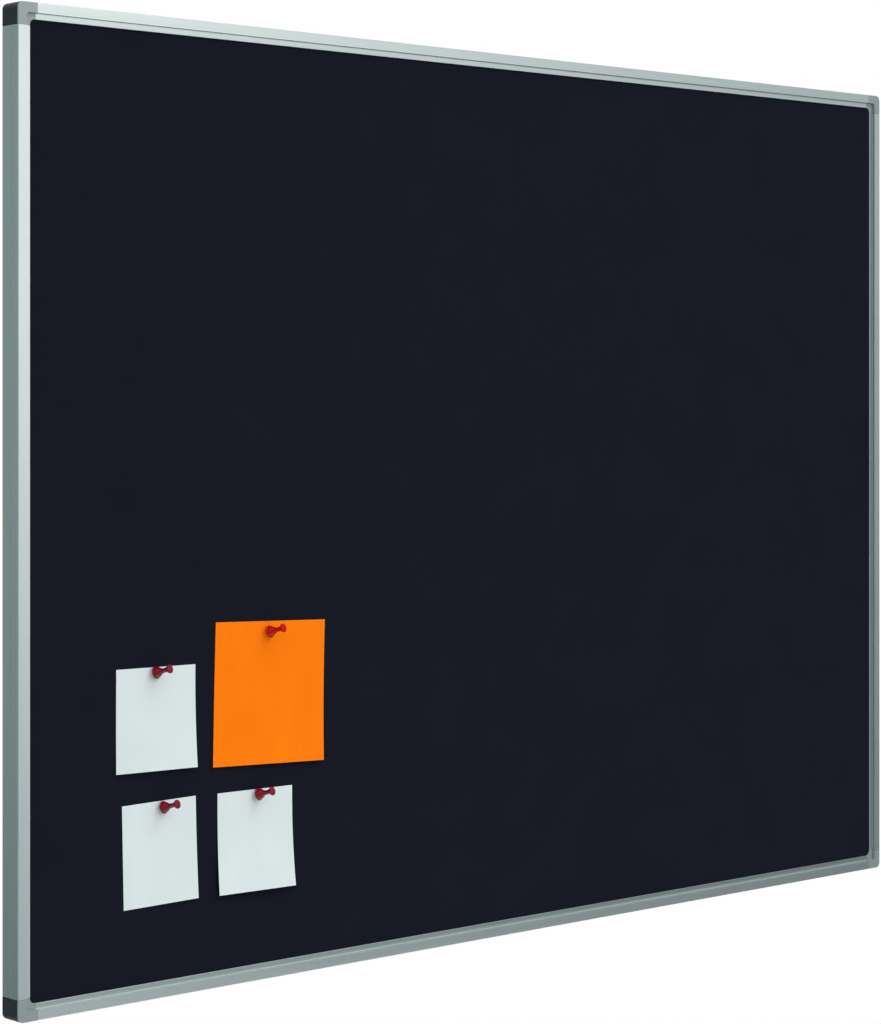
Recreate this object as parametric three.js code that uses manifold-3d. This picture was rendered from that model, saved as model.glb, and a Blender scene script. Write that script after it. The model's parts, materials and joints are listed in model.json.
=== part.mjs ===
// A wall pinboard: a felt panel in a silver aluminium frame, with push pins and note sheets.
// Millimetres. X runs along the width, Z up, and the front faces -Y. The wall is the plane Y = 0,
// and the origin is the centre of the board's back on it.
import * as THREE from 'three';
import { mergeVertices } from 'three/addons/utils/BufferGeometryUtils.js';
import Module from 'manifold-3d';

const wasm = await Module();
wasm.setup();

// Driving dimensions: the whole board
const board_width = 1200;
const board_height = 900;
const board_depth = 24.5;

// Frame rails
const rail_wall = 1.2;
const flange_wall = 1.6;
const band_width = 9.4;
const lip_width = 5.6;
const step_depth = 3.3;
const edge_radius = 0.8;
const lip_radius = 0.5;
const chamber_reach = 11.2;
const web_reach = 13;
const side_groove_place = 11.8;
const side_groove_width = 0.9;
const side_groove_depth = 0.4;

// Corner pieces
const corner_leg = 20.5;
const corner_radius = 6;
const groove_turn_radius = 3;
const opening_radius = 5;
const joint_gap = 0.2;
const base_wall = 1.5;
const base_floor = 1.6;
const leg_length = 38;
const leg_chamfer = 1.5;
const leg_clearance = 0.3;
const cap_clearance = 0.3;
const cap_seat_gap = 0.2;
const cap_skirt_wall = 1.2;
const cap_skirt_depth = 8;
const cap_skirt_inset = 1;
const boss_place = 8.2;
const boss_radius = 4.5;
const boss_front = 10;
const wall_screw_hole = 5.5;

// Panel
const layer_gap = 0.2;
const felt_gap = 0.3;
const felt_thickness = 1.5;
const core_thickness = 9.5;
const back_thickness = 0.6;
const panel_clearance = 0.5;

// Connector screws
const screw_inset = 14;
const screw_diameter = 3;
const screw_clearance = 0.3;
const screw_length = 5.4;
const screw_tip = 1.2;
const screw_head_diameter = 5.6;
const screw_head_height = 1.3;
const screw_sink = 0.2;
const recess_length = 3.2;
const recess_width = 0.7;
const recess_depth = 0.8;

// Note sheets
const note_thickness = 0.4;
const note_gap = 0.3;
const white_note_width = 90;
const narrow_note_width = 84;
const white_note_height = 95;
const orange_note_width = 133;
const orange_note_height = 135;
const first_column = 108.7;
const column_gap = 22.2;
const lower_left_indent = 7.7;
const lower_right_indent = 4;
const first_row = 85.1;
const row_gap = 23;
const upper_raise = 5.2;
const upper_left_lift = 4.5;
const upper_right_lift = 3.8;
const lower_left_lift = 2;
const lower_right_lift = 6.5;

// Push pins: radii of the head, and how far along its axis from the collar's back each one lies
const collar_radius = 6;
const collar_thickness = 1.2;
const shoulder_radius = 4.9;
const shoulder_place = 3.2;
const neck_radius = 2.5;
const neck_place = 6.8;
const waist_radius = 2.1;
const waist_place = 10;
const flare_radius = 2.7;
const flare_place = 14;
const cap_radius = 4.2;
const cap_place = 15.6;
const head_length = 17.8;
const head_rounding = 0.4;
const needle_diameter = 1.1;
const needle_clearance = 0.3;
const needle_reach = 9;
const needle_embed = 9;
const needle_point = 2.4;
const pin_lean_side = THREE.MathUtils.degToRad(16);
const pin_lean_up = THREE.MathUtils.degToRad(15);

// How far a cutting tool runs past the faces that it cuts
const overrun = 2;

// Counts of facets
const arc_steps = 4;
const round_steps = 20;
const small_round_steps = 12;
const note_steps = 8;

// Places worked out from the values above, as depths behind the board's front plane
const rail_face = band_width + lip_width;
const lip_back = step_depth + rail_wall;
const felt_front = lip_back + felt_gap;
const core_front = felt_front + felt_thickness + layer_gap;
const back_front = core_front + core_thickness + layer_gap;
const web_front = back_front + back_thickness + layer_gap;
const chamber_front = web_front + rail_wall;
const chamber_back = board_depth - flange_wall;
const note_front = felt_front - note_gap - note_thickness;

// Places inwards from the board's outer edges
const leg_near = rail_wall + leg_clearance;
const leg_far = chamber_reach - rail_wall - leg_clearance;
const leg_middle = (leg_near + leg_far) / 2;
const rail_start = corner_leg + joint_gap;
const skirt_outside = base_wall + cap_clearance;
const skirt_inside = skirt_outside + cap_skirt_wall;
const panel_inset = skirt_inside + panel_clearance;
const panel_notch = boss_place + boss_radius + panel_clearance;

// Materials
function finish(color, roughness, metalness) {
  return new THREE.MeshStandardMaterial({ color, roughness, metalness });
}
const anodised_aluminium = finish(0xc9d3d2, 0.35, 0.9);
const light_grey_plastic = finish(0x9aabb0, 0.45, 0);
const charcoal_plastic = finish(0x2b3337, 0.5, 0);
const navy_felt = finish(0x1a1d27, 0.95, 0);
const fibre_core = finish(0xa98f6a, 0.9, 0);
const galvanised_steel = finish(0xa3a9ab, 0.4, 0.9);
const zinc_screw = finish(0xb9bcbd, 0.3, 1);
const white_paper = finish(0xdde8e8, 0.85, 0);
const orange_paper = finish(0xff8416, 0.85, 0);
const red_plastic = finish(0x9c0a16, 0.2, 0);
const needle_steel = finish(0xc4c7c9, 0.2, 1);

// Solids from closed meshes, with shared corners merged and slivers on an axis dropped
function solidOf(geometry) {
  const bare = geometry.clone();
  bare.deleteAttribute('normal');
  bare.deleteAttribute('uv');
  const merged = mergeVertices(bare);
  const places = merged.getAttribute('position').array;
  const corners = merged.getIndex().array;
  const triangles = [];
  let volume = 0;
  for (let i = 0; i < corners.length; i += 3) {
    const [a, b, c] = corners.subarray(i, i + 3);
    if (a === b || b === c || c === a) continue;
    triangles.push(a, b, c);
    const [p, q, r] = [a, b, c].map((k) => new THREE.Vector3().fromArray(places, 3 * k));
    volume += p.dot(q.cross(r));
  }
  if (volume < 0) triangles.reverse();
  return new wasm.Manifold(new wasm.Mesh({
    numProp: 3,
    vertProperties: Float32Array.from(places),
    triVerts: Uint32Array.from(triangles),
  }));
}

function geometryOf(solid) {
  const { vertProperties, triVerts } = solid.getMesh();
  const geometry = new THREE.BufferGeometry();
  geometry.setAttribute('position', new THREE.BufferAttribute(vertProperties, 3));
  geometry.setIndex(new THREE.BufferAttribute(triVerts, 1));
  geometry.computeVertexNormals();
  return geometry;
}

function joined(...geometries) {
  return geometries.map(solidOf).reduce((sum, solid) => sum.add(solid));
}

function without(solid, ...tools) {
  return tools.reduce((rest, tool) => rest.subtract(solidOf(tool)), solid);
}

// A plate between two depths behind the front plane, from an outline in X and Z
function plate(outline, front, back, rounding = 0) {
  const geometry = new THREE.ExtrudeGeometry(outline, {
    depth: back - front - 2 * rounding,
    curveSegments: arc_steps,
    bevelEnabled: rounding > 0,
    bevelThickness: rounding,
    bevelSize: rounding,
    bevelOffset: -rounding,
    bevelSegments: arc_steps - 1,
  });
  const x = new THREE.Vector3(1, 0, 0);
  const y = new THREE.Vector3(0, 0, 1);
  const z = new THREE.Vector3(0, -1, 0);
  const turned = new THREE.Matrix4().makeBasis(x, y, z);
  turned.setPosition(0, back - rounding - board_depth, 0);
  return geometry.applyMatrix4(turned);
}

function rectangle(left, bottom, right, top) {
  const outline = new THREE.Shape();
  outline.moveTo(left, bottom);
  outline.lineTo(right, bottom);
  outline.lineTo(right, top);
  outline.lineTo(left, top);
  outline.closePath();
  return outline;
}

// A round tool or boss along Y, given by its centre in X and Z and its two depths
function postAt(x, z, radius, front, back) {
  const post = new THREE.CylinderGeometry(radius, radius, back - front, round_steps);
  return post.translate(x, (front + back) / 2 - board_depth, z);
}

// A round solid about Y from the radii and heights of its outline
function turned(outline, steps) {
  return new THREE.LatheGeometry(outline.map(([radius, height]) => new THREE.Vector2(radius, height)), steps);
}

function named(name, geometry, material) {
  const mesh = new THREE.Mesh(geometry, material);
  mesh.name = name;
  return mesh;
}

// Frame rail: X in the outline is the distance inwards, Y the depth behind the front plane
function railSection() {
  const half_turn = Math.PI;
  const outline = new THREE.Shape();
  outline.moveTo(0, edge_radius);
  outline.absarc(edge_radius, edge_radius, edge_radius, half_turn, 1.5 * half_turn);
  outline.absarc(band_width - edge_radius, edge_radius, edge_radius, 1.5 * half_turn, 2 * half_turn);
  outline.lineTo(band_width, step_depth);
  outline.absarc(rail_face - lip_radius, step_depth + lip_radius, lip_radius, 1.5 * half_turn, 2 * half_turn);
  outline.lineTo(rail_face, lip_back);
  outline.lineTo(band_width - rail_wall, lip_back);
  outline.lineTo(band_width - rail_wall, rail_wall);
  outline.lineTo(rail_wall, rail_wall);
  outline.lineTo(rail_wall, web_front);
  outline.lineTo(web_reach, web_front);
  outline.lineTo(web_reach, chamber_front);
  outline.lineTo(chamber_reach, chamber_front);
  outline.lineTo(chamber_reach, board_depth);
  outline.lineTo(0, board_depth);
  outline.lineTo(0, side_groove_place + side_groove_width);
  outline.lineTo(side_groove_depth, side_groove_place + side_groove_width);
  outline.lineTo(side_groove_depth, side_groove_place);
  outline.lineTo(0, side_groove_place);
  outline.closePath();
  outline.holes.push(rectangle(rail_wall, chamber_front, chamber_reach - rail_wall, chamber_back));
  return outline;
}

// The way for a connector screw through a rail's rear flange, along Y from the wall plane
function screwWay() {
  const bore = screw_diameter / 2 + screw_clearance;
  const mouth = screw_head_diameter / 2 + screw_clearance;
  const throat = -screw_sink - screw_head_height;
  return turned([
    [0, -flange_wall - overrun],
    [bore, -flange_wall - overrun],
    [bore, throat],
    [mouth, -screw_sink],
    [mouth, overrun],
    [0, overrun],
  ], small_round_steps);
}

// A rail lies along X with its outer edge on Z = 0 and its opening towards +Z
function railGeometry(length) {
  const bar = new THREE.ExtrudeGeometry(railSection(), {
    depth: length, curveSegments: arc_steps, bevelEnabled: false,
  });
  const inwards = new THREE.Vector3(0, 0, 1);
  const backwards = new THREE.Vector3(0, 1, 0);
  const along = new THREE.Vector3(-1, 0, 0);
  const placed = new THREE.Matrix4().makeBasis(inwards, backwards, along);
  placed.setPosition(length / 2, -board_depth, 0);
  const ways = [-1, 1].map((side) => (
    screwWay().translate(side * (length / 2 - screw_inset), 0, leg_middle)
  ));
  return geometryOf(without(joined(bar.applyMatrix4(placed)), ...ways));
}

function screwGeometry() {
  const shank = screw_diameter / 2;
  const body = turned([
    [0, -screw_length],
    [shank, screw_tip - screw_length],
    [shank, -screw_head_height],
    [screw_head_diameter / 2, 0],
    [0, 0],
  ], small_round_steps);
  const slots = [0, Math.PI / 2].map((turn) => (
    new THREE.BoxGeometry(recess_length, 2 * recess_depth, recess_width).rotateY(turn)
  ));
  return geometryOf(without(joined(body), ...slots));
}

// A strip that follows both outer sides of a corner, with its own turn radius on either edge
function cornerStrip(near, near_turn, far, far_turn, reach) {
  const half_turn = Math.PI;
  const near_centre = near + near_turn;
  const far_centre = far + far_turn;
  const outline = new THREE.Shape();
  outline.moveTo(near, reach);
  outline.absarc(near_centre, near_centre, near_turn, half_turn, 1.5 * half_turn);
  outline.lineTo(reach, near);
  outline.lineTo(reach, far);
  outline.absarc(far_centre, far_centre, far_turn, 1.5 * half_turn, half_turn, true);
  outline.lineTo(far, reach);
  outline.closePath();
  return outline;
}

function cornerFloor() {
  const outline = new THREE.Shape();
  outline.moveTo(0, corner_leg);
  outline.absarc(corner_radius, corner_radius, corner_radius, Math.PI, 1.5 * Math.PI);
  outline.lineTo(corner_leg, 0);
  outline.lineTo(corner_leg, corner_leg);
  outline.closePath();
  return outline;
}

// The leg that slides into the rail along X, and its copy along Z
function legOutline(swap) {
  const tip = rail_start + leg_length;
  const points = [
    [base_wall / 2, leg_near],
    [tip - leg_chamfer, leg_near],
    [tip, leg_near + leg_chamfer],
    [tip, leg_far - leg_chamfer],
    [tip - leg_chamfer, leg_far],
    [base_wall / 2, leg_far],
  ];
  return new THREE.Shape(points.map(([along, across]) => (
    swap ? new THREE.Vector2(across, along) : new THREE.Vector2(along, across)
  )));
}

// Corner base: outer walls, floor, two rail legs and the boss round the wall-screw hole
function cornerBaseGeometry() {
  const solid = joined(
    plate(
      cornerStrip(0, corner_radius, base_wall, corner_radius - base_wall, corner_leg),
      rail_wall + cap_seat_gap,
      board_depth,
    ),
    plate(cornerFloor(), board_depth - base_floor, board_depth),
    plate(legOutline(false), chamber_front + leg_clearance, chamber_back - leg_clearance),
    plate(legOutline(true), chamber_front + leg_clearance, chamber_back - leg_clearance),
    plate(rectangle(base_wall / 2, leg_near, corner_leg, leg_far), chamber_front + leg_clearance, board_depth),
    plate(rectangle(leg_near, base_wall / 2, leg_far, corner_leg), chamber_front + leg_clearance, board_depth),
    postAt(boss_place, boss_place, boss_radius, boss_front, board_depth),
  );
  const screw_place = rail_start + screw_inset;
  const screw_bore = screw_diameter / 2 + screw_clearance;
  return geometryOf(without(
    solid,
    postAt(boss_place, boss_place, wall_screw_hole / 2, boss_front - overrun, board_depth + overrun),
    postAt(screw_place, leg_middle, screw_bore, chamber_front, board_depth),
    postAt(leg_middle, screw_place, screw_bore, chamber_front, board_depth),
  ));
}

// A strip whose front edges are rounded but whose ends stay square against the rails
function roundedStrip(near, near_turn, far, far_turn, front, back, rounding) {
  const past = corner_leg + overrun;
  const long_strip = plate(
    cornerStrip(near, near_turn, far, far_turn, past), front, back + 2 * rounding, rounding,
  );
  const kept = plate(rectangle(0, 0, corner_leg, corner_leg), front, back);
  return geometryOf(joined(long_strip).intersect(joined(kept)));
}

// Corner cover: raised band, step and lip like the rails', and a skirt inside the base's walls
function cornerCoverGeometry() {
  const step_near = band_width - rail_wall;
  const step_turn = groove_turn_radius + rail_wall;
  return geometryOf(joined(
    roundedStrip(0, corner_radius, band_width, groove_turn_radius, 0, rail_wall, edge_radius),
    roundedStrip(step_near, step_turn, rail_face, opening_radius, step_depth, lip_back, lip_radius),
    plate(
      cornerStrip(step_near, step_turn, band_width, groove_turn_radius, corner_leg),
      edge_radius,
      lip_back,
    ),
    plate(
      cornerStrip(
        skirt_outside,
        corner_radius - skirt_outside,
        skirt_inside,
        corner_radius - skirt_inside,
        corner_leg - cap_skirt_inset,
      ),
      rail_wall / 2,
      cap_skirt_depth,
    ),
  ));
}

// Panel layers: a rectangle with its corners notched for the corner bases
function panelOutline() {
  const side = board_width / 2 - panel_inset;
  const side_notch = board_width / 2 - panel_notch;
  const end = board_height / 2 - panel_inset;
  const end_notch = board_height / 2 - panel_notch;
  const corner = [[side, end_notch], [side_notch, end_notch], [side_notch, end]];
  const back_round = [...corner].reverse();
  const points = [
    ...back_round.map(([x, z]) => [x, -z]),
    ...corner,
    ...back_round.map(([x, z]) => [-x, z]),
    ...corner.map(([x, z]) => [-x, -z]),
  ];
  return new THREE.Shape(points.map(([x, z]) => new THREE.Vector2(x, z)));
}

// The notes: where each one lies from the board's lower left corner, and where its pin goes in
const second_column = first_column + white_note_width + column_gap;
const second_row = first_row + white_note_height + row_gap;
const notes = [
  {
    place: 'upper_left', width: white_note_width, height: white_note_height, paper: white_paper,
    left: first_column, bottom: second_row + upper_raise, turn: -0.4,
    across_share: 0.464, drop_share: 0.059, lift: upper_left_lift, left_lift_share: 0.2,
  },
  {
    place: 'upper_right', width: orange_note_width, height: orange_note_height, paper: orange_paper,
    left: second_column, bottom: second_row, turn: -1.9,
    across_share: 0.465, drop_share: 0.08, lift: upper_right_lift, left_lift_share: 0.4,
  },
  {
    place: 'lower_left', width: narrow_note_width, height: white_note_height, paper: white_paper,
    left: first_column + lower_left_indent, bottom: first_row, turn: 1.2,
    across_share: 0.521, drop_share: 0.071, lift: lower_left_lift, left_lift_share: 0,
  },
  {
    place: 'lower_right', width: white_note_width, height: white_note_height, paper: white_paper,
    left: second_column + lower_right_indent, bottom: first_row, turn: -0.3,
    across_share: 0.511, drop_share: 0.058, lift: lower_right_lift, left_lift_share: 0.6,
  },
];

// Push pins lean to the board's right and upwards, so the collar's rim would meet the note first
const pin_axis = new THREE.Vector3(
  Math.sin(pin_lean_side) * Math.cos(pin_lean_up),
  -Math.cos(pin_lean_side) * Math.cos(pin_lean_up),
  Math.sin(pin_lean_up),
);
const upright = new THREE.Vector3(0, 1, 0);
const pin_turn = new THREE.Quaternion().setFromUnitVectors(upright, pin_axis);
const lean_cosine = -pin_axis.y;
const lean_sine = Math.sqrt(1 - lean_cosine * lean_cosine);
const collar_height = (note_thickness / 2 + note_gap + collar_radius * lean_sine) / lean_cosine;

// The frame of a note, at its centre, and of its pin, where the needle crosses the note
function noteFrame(note) {
  const turn = new THREE.Quaternion().setFromAxisAngle(upright, -THREE.MathUtils.degToRad(note.turn));
  const centre = new THREE.Vector3(
    note.left + (note.width - board_width) / 2,
    note_front + note_thickness - board_depth,
    note.bottom + (note.height - board_height) / 2,
  );
  return new THREE.Matrix4().compose(centre, turn, new THREE.Vector3(1, 1, 1));
}

function pinSpot(note) {
  return {
    across: (note.across_share - 0.5) * note.width,
    up: (0.5 - note.drop_share) * note.height,
  };
}

function pinFrame(note) {
  const { across, up } = pinSpot(note);
  const pivot = new THREE.Vector3(across, -note_thickness / 2, up).applyMatrix4(noteFrame(note));
  return new THREE.Matrix4().compose(pivot, pin_turn, new THREE.Vector3(1, 1, 1));
}

function needleWay(radius, deepest, highest) {
  const way = new THREE.CylinderGeometry(radius, radius, highest + deepest, small_round_steps);
  return way.translate(0, (highest - deepest) / 2, 0);
}

function noteWay() {
  return needleWay(needle_diameter / 2 + needle_clearance, needle_reach + needle_clearance, overrun);
}

// A sheet of paper hanging from its pin, its lower edge standing a little off the board
function noteGeometry(note) {
  const { up } = pinSpot(note);
  const places = [];
  for (const side of [0, note_thickness]) {
    for (let row = 0; row <= note_steps; row += 1) {
      for (let column = 0; column <= note_steps; column += 1) {
        const right_share = column / note_steps;
        const z = (row / note_steps - 0.5) * note.height;
        const fall = Math.max(0, (up - z) / (up + note.height / 2));
        const lift = note.lift * (note.left_lift_share + (1 - note.left_lift_share) * right_share);
        places.push((right_share - 0.5) * note.width, -lift * fall * fall - side, z);
      }
    }
  }
  const columns = note_steps + 1;
  const layer = columns * columns;
  const triangles = [];
  function quad(a, b, c, d) {
    triangles.push(a, b, c, a, c, d);
  }
  for (let row = 0; row < note_steps; row += 1) {
    for (let column = 0; column < note_steps; column += 1) {
      const a = row * columns + column;
      quad(a, a + columns, a + columns + 1, a + 1);
      quad(a + layer, a + layer + 1, a + layer + columns + 1, a + layer + columns);
    }
  }
  const rim = [];
  for (let i = 0; i < note_steps; i += 1) rim.push(i);
  for (let i = 0; i < note_steps; i += 1) rim.push(i * columns + note_steps);
  for (let i = note_steps; i > 0; i -= 1) rim.push(note_steps * columns + i);
  for (let i = note_steps; i > 0; i -= 1) rim.push(i * columns);
  rim.forEach((a, i) => {
    const b = rim[(i + 1) % rim.length];
    quad(a, b, b + layer, a + layer);
  });
  const sheet = new THREE.BufferGeometry();
  sheet.setAttribute('position', new THREE.Float32BufferAttribute(places, 3));
  sheet.setIndex(triangles);
  const to_note = noteFrame(note).invert().multiply(pinFrame(note));
  return geometryOf(without(joined(sheet), noteWay().applyMatrix4(to_note)));
}

// Push-pin head along +Y, with the bore that grips the needle
function pinHeadGeometry() {
  const outline = [
    [0, 0],
    [collar_radius - head_rounding, 0],
    [collar_radius, head_rounding],
    [collar_radius, collar_thickness - head_rounding],
    [collar_radius - head_rounding, collar_thickness],
    [shoulder_radius, shoulder_place],
    [neck_radius, neck_place],
    [waist_radius, waist_place],
    [flare_radius, flare_place],
    [cap_radius - head_rounding, cap_place],
    [cap_radius, cap_place + head_rounding],
    [cap_radius, head_length - 2 * head_rounding],
    [cap_radius - 2 * head_rounding, head_length],
    [0, head_length],
  ];
  const bore = needle_diameter / 2 + needle_clearance;
  const grip = needleWay(bore, overrun, needle_embed + needle_clearance);
  return geometryOf(without(joined(turned(outline, round_steps)), grip));
}

function needleGeometry() {
  const radius = needle_diameter / 2;
  const top = collar_height + needle_embed;
  return geometryOf(joined(turned([
    [0, -needle_reach],
    [radius, needle_point - needle_reach],
    [radius, top],
    [0, top],
  ], small_round_steps)));
}

// The assembly
const pinboard = new THREE.Group();

const corner_sides = [
  { place: 'bottom_left', x: -1, z: -1, turn: 0 },
  { place: 'top_left', x: -1, z: 1, turn: 0.5 * Math.PI },
  { place: 'top_right', x: 1, z: 1, turn: Math.PI },
  { place: 'bottom_right', x: 1, z: -1, turn: 1.5 * Math.PI },
];
for (const { place, x, z, turn } of corner_sides) {
  const corner = new THREE.Group();
  corner.position.set(x * board_width / 2, 0, z * board_height / 2);
  corner.rotation.y = turn;
  corner.add(named(`corner_base_${place}`, cornerBaseGeometry(), charcoal_plastic));
  corner.add(named(`corner_cover_${place}`, cornerCoverGeometry(), light_grey_plastic));
  pinboard.add(corner);
}

const rail_sides = [
  { place: 'bottom', x: 0, z: -1, turn: 0, span: board_width },
  { place: 'left', x: -1, z: 0, turn: 0.5 * Math.PI, span: board_height },
  { place: 'top', x: 0, z: 1, turn: Math.PI, span: board_width },
  { place: 'right', x: 1, z: 0, turn: 1.5 * Math.PI, span: board_height },
];
for (const { place, x, z, turn, span } of rail_sides) {
  const length = span - 2 * rail_start;
  const rail = new THREE.Group();
  rail.position.set(x * board_width / 2, 0, z * board_height / 2);
  rail.rotation.y = turn;
  rail.add(named(`rail_${place}`, railGeometry(length), anodised_aluminium));
  for (const end of [-1, 1]) {
    const screw = named(`screw_${place}_${end < 0 ? 'a' : 'b'}`, screwGeometry(), zinc_screw);
    screw.position.set(end * (length / 2 - screw_inset), -screw_sink, leg_middle);
    rail.add(screw);
  }
  pinboard.add(rail);
}

const pin_ways = notes.map((note) => noteWay().applyMatrix4(pinFrame(note)));
const layers = [
  { name: 'felt_surface', front: felt_front, thickness: felt_thickness, ways: pin_ways, material: navy_felt },
  { name: 'core_board', front: core_front, thickness: core_thickness, ways: pin_ways, material: fibre_core },
  { name: 'back_sheet', front: back_front, thickness: back_thickness, ways: [], material: galvanised_steel },
];
for (const { name, front, thickness, ways, material } of layers) {
  const layer = without(joined(plate(panelOutline(), front, front + thickness)), ...ways);
  pinboard.add(named(name, geometryOf(layer), material));
}

for (const note of notes) {
  const sheet = named(`note_${note.place}`, noteGeometry(note), note.paper);
  sheet.applyMatrix4(noteFrame(note));
  pinboard.add(sheet);

  const pin = new THREE.Group();
  pin.applyMatrix4(pinFrame(note));
  const head = named(`pin_head_${note.place}`, pinHeadGeometry(), red_plastic);
  head.position.y = collar_height;
  pin.add(head);
  pin.add(named(`pin_needle_${note.place}`, needleGeometry(), needle_steel));
  pinboard.add(pin);
}

export default pinboard;
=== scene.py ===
import json
import math
from contextlib import contextmanager

import bmesh
import bpy
from mathutils import Matrix, Vector


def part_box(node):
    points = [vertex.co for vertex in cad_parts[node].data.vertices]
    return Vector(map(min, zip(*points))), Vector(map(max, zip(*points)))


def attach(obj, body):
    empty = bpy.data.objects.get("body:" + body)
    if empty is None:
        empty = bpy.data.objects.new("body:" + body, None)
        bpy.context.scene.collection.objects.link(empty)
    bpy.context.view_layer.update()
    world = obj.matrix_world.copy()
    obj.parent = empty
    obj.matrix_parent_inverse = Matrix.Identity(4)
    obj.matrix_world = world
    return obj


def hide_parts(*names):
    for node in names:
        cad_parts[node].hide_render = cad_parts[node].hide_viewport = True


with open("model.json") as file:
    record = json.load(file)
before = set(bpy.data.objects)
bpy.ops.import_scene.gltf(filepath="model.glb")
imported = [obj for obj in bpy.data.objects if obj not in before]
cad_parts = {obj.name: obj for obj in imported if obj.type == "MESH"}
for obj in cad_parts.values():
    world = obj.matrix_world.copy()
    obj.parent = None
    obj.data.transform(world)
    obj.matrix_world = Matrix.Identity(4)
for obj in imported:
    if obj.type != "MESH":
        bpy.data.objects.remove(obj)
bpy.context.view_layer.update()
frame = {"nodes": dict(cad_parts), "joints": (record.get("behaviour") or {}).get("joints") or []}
joints = {joint["name"]: joint for joint in frame["joints"]}

MM = 0.001

# The whole board
BOARD_WIDTH = 1200 * MM
BOARD_HEIGHT = 900 * MM
BOARD_DEPTH = 24.5 * MM

# Frame rails: places run inwards from the outer edge, and depths backwards from the front plane
RAIL_WALL = 1.2 * MM
BAND_WIDTH = 9.4 * MM
LIP_WIDTH = 5.6 * MM
STEP_DEPTH = 3.3 * MM
EDGE_RADIUS = 0.8 * MM
INNER_EDGE_RADIUS = 0.15 * MM
LIP_RADIUS = 0.5 * MM
# The lip is a shallow hollow: it dips near the step and rises towards the opening
LIP_HOLLOW = 0.5 * MM
LIP_DIP_SHARE = 0.5
LIP_CUTS = 6
LIP_RISE = LIP_HOLLOW * (1 - LIP_DIP_SHARE)
# Painted shade on the step's wall: its colour is darker than the rest of the metal and stands in for
# the shade down in the step. It starts at a small depth and blends in over a short way. Across the band
# it fades in between two shares of the band's width
STEP_WALL_PAINTED_SHADE = (0.42, 0.49, 0.49)
STEP_SHADE_START = 0.1 * MM
STEP_SHADE_BLEND = 0.5 * MM
STEP_SHADE_SHARES = (0.5, 0.8)
FOOT_FILLET = 0.15 * MM
REAR_CHAMFER = 0.2 * MM
GROOVE_PLACE = 11.8 * MM
GROOVE_WIDTH = 0.9 * MM
GROOVE_DEPTH = 0.4 * MM
WEB_FRONT = 17 * MM
WEB_REACH = 13 * MM
CHAMBER_REACH = 11.2 * MM
FLANGE_WALL = 1.6 * MM
RAIL_FACE = BAND_WIDTH + LIP_WIDTH
LIP_BACK = STEP_DEPTH + RAIL_WALL
CHAMBER_FRONT = WEB_FRONT + RAIL_WALL
CHAMBER_BACK = BOARD_DEPTH - FLANGE_WALL

# Corner pieces
CORNER_LEG = 20.5 * MM
CORNER_RADIUS = 6 * MM
GROOVE_TURN = 3 * MM
OPENING_RADIUS = 5 * MM
BASE_WALL = 1.5 * MM
BASE_FLOOR = 1.6 * MM
BASE_FRONT = 1.4 * MM
BASE_EDGE = 0.35 * MM
LEG_NEAR = 1.5 * MM
LEG_FAR = 9.7 * MM
LEG_LENGTH = 58.7 * MM
LEG_CHAMFER = 1.5 * MM
LEG_ROOM = 0.3 * MM
LEG_START = 3 * MM
COVER_SKIRT_NEAR = 1.8 * MM
COVER_SKIRT_FAR = 3 * MM
COVER_SKIRT_DEPTH = 8 * MM
COVER_SKIRT_LEG = 19.5 * MM
BOSS_PLACE = 8.2 * MM
BOSS_RADIUS = 4.5 * MM
BOSS_FRONT = 10 * MM
WALL_SCREW_RADIUS = 2.75 * MM
WALL_SCREW_SEAT = 3.8 * MM

# Connector screws
SCREW_HEAD_RADIUS = 2.8 * MM
SCREW_HEAD_HEIGHT = 1.3 * MM
SCREW_SHANK = 1.5 * MM
SCREW_CORE = 1.15 * MM
SCREW_LENGTH = 5.4 * MM
SCREW_THREADS = 5
SCREW_ROOM = 0.3 * MM
SCREW_TIP_SHARE = 0.1
RECESS_SPAN = 1.6 * MM
RECESS_WIDTH = 0.7 * MM
RECESS_DEPTH = 0.8 * MM
RECESS_TURNS = (45, 135)

# Panel and notes
FELT_EDGE = 0.4 * MM
PAPER_THICKNESS = 0.25 * MM
WHITE_HEIGHT = 95 * MM
NOTE_CUTS = 23
NOTES = {
    "upper_left": {
        "width": 90 * MM, "height": WHITE_HEIGHT, "turn": -0.4, "lift": 4.5 * MM,
        "left_lift_share": 0.2, "across_share": 0.464, "drop_share": 0.059,
    },
    "upper_right": {
        "width": 133 * MM, "height": 135 * MM, "turn": -1.9, "lift": 3.8 * MM,
        "left_lift_share": 0.4, "across_share": 0.465, "drop_share": 0.08,
    },
    "lower_left": {
        "width": 84 * MM, "height": WHITE_HEIGHT, "turn": 1.2, "lift": 2 * MM,
        "left_lift_share": 0, "across_share": 0.521, "drop_share": 0.071,
    },
    "lower_right": {
        "width": 90 * MM, "height": WHITE_HEIGHT, "turn": -0.3, "lift": 6.5 * MM,
        "left_lift_share": 0.6, "across_share": 0.511, "drop_share": 0.058,
    },
}

# Push pins: radius and height of each ring of the head, from the collar's back to the cap
HEAD_RINGS = [
    (5.5, 0), (5.9, 0.12), (6, 0.42), (6, 0.8), (5.86, 1.08), (5.45, 1.22), (5.2, 1.5), (5.1, 2.3),
    (4.85, 3.2), (4.3, 4.3), (3.4, 5.6), (2.62, 6.9), (2.22, 8.3), (2.1, 10), (2.2, 12), (2.6, 13.6),
    (3.35, 14.8), (3.95, 15.5), (4.2, 16), (4.2, 16.8), (4.02, 17.3), (3.5, 17.6), (2.4, 17.76),
    (1, 17.8),
]
HEAD_RADIUS = 6 * MM
GATE_DEPTH = 0.25 * MM
COLLAR_ROOM = 0.3 * MM
NEEDLE_RADIUS = 0.55 * MM
NEEDLE_POINT = 2.4 * MM
NEEDLE_TIP_SHARE = 0.08
NEEDLE_REACH = 9 * MM
NEEDLE_TOP = 11.7 * MM

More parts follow.
